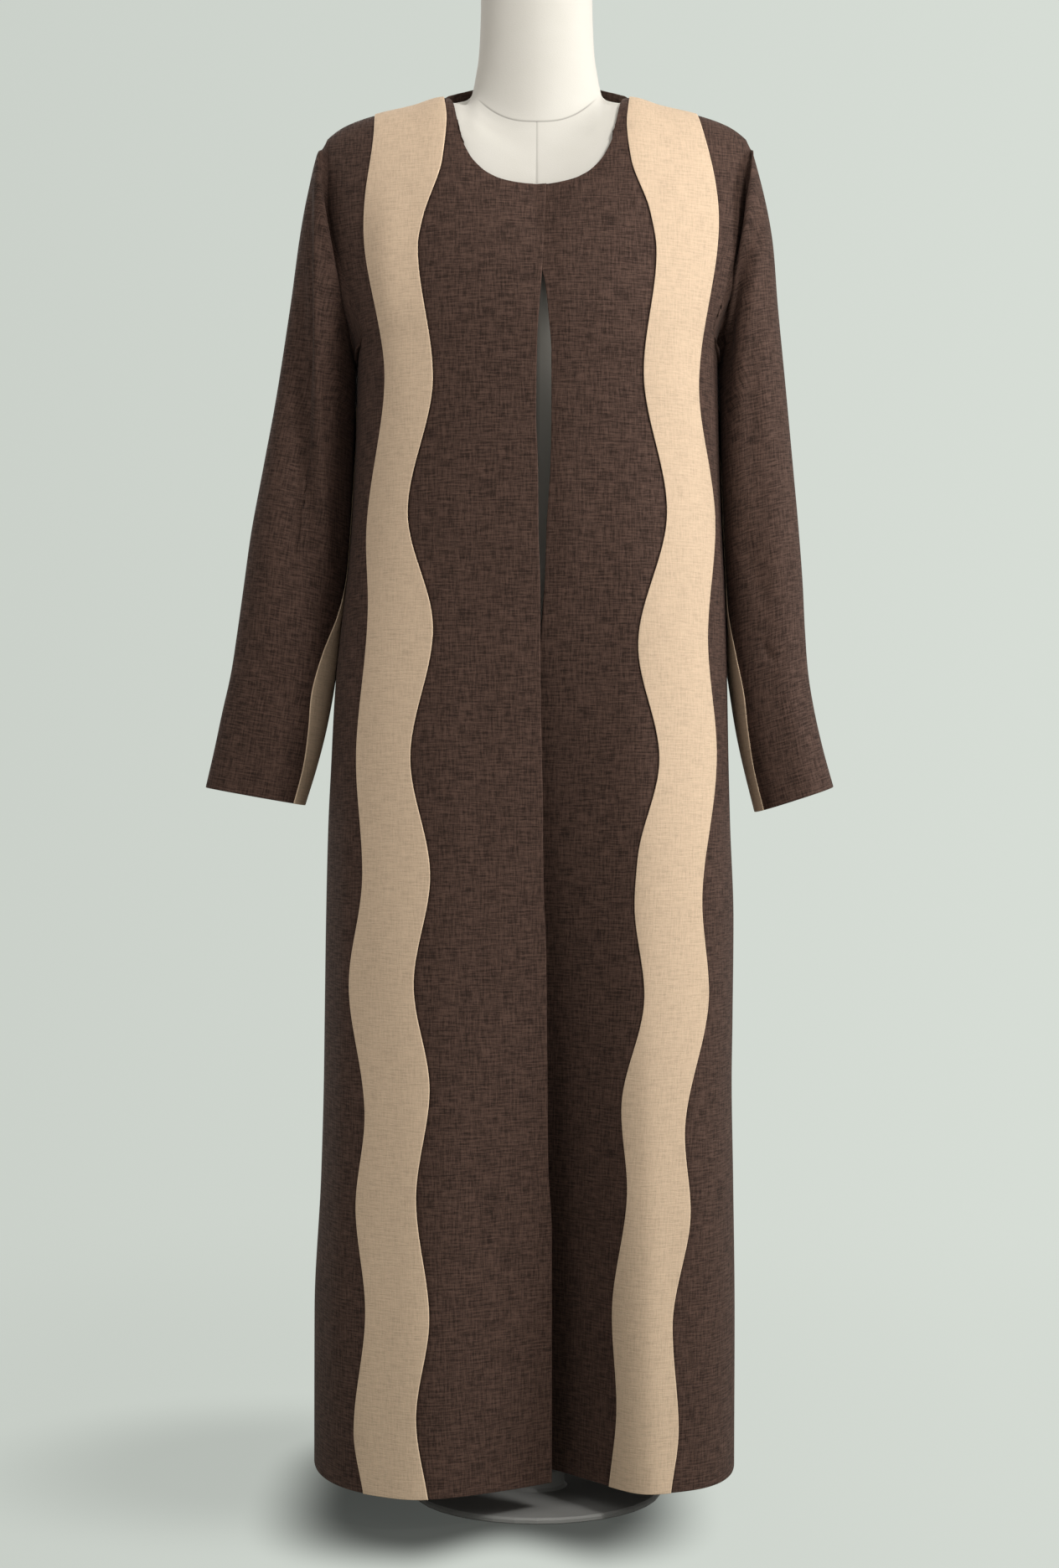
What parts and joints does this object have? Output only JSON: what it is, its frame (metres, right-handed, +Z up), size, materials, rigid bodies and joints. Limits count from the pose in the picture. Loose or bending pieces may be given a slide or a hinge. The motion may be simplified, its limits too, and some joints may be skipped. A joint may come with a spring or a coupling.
{
  "type": "abaya cloak on a dress form",
  "caption": "open-front full-length abaya with long sleeves and wavy contrast bands, worn on a limbless dress form with a round stand",
  "frame": {"origin": "middle of the underside of the stand's round base, on the floor", "axes": "+Z up along the stand's pole, the front of the cloak faces -Y, the wearer's left is at +X"},
  "size_m": [0.6567, 0.3248, 1.59],
  "materials": {
    "dark_linen": "matte slubbed linen-look weave, dark brown",
    "beige_linen": "matte slubbed linen-look weave, warm beige",
    "form_cover": "smooth stretched cotton cover, off-white",
    "stand_paint": "satin pale grey paint"
  },
  "bodies": {
    "root": {"front_right": "dark_linen", "front_left": "dark_linen", "back": "dark_linen", "sleeve_right": "dark_linen", "sleeve_left": "dark_linen", "front_band_right": "beige_linen", "front_band_left": "beige_linen", "sleeve_band_right": "beige_linen", "sleeve_band_left": "beige_linen", "dress_form": "form_cover", "pole": "stand_paint", "base": "stand_paint"}
  },
  "joints": []
}
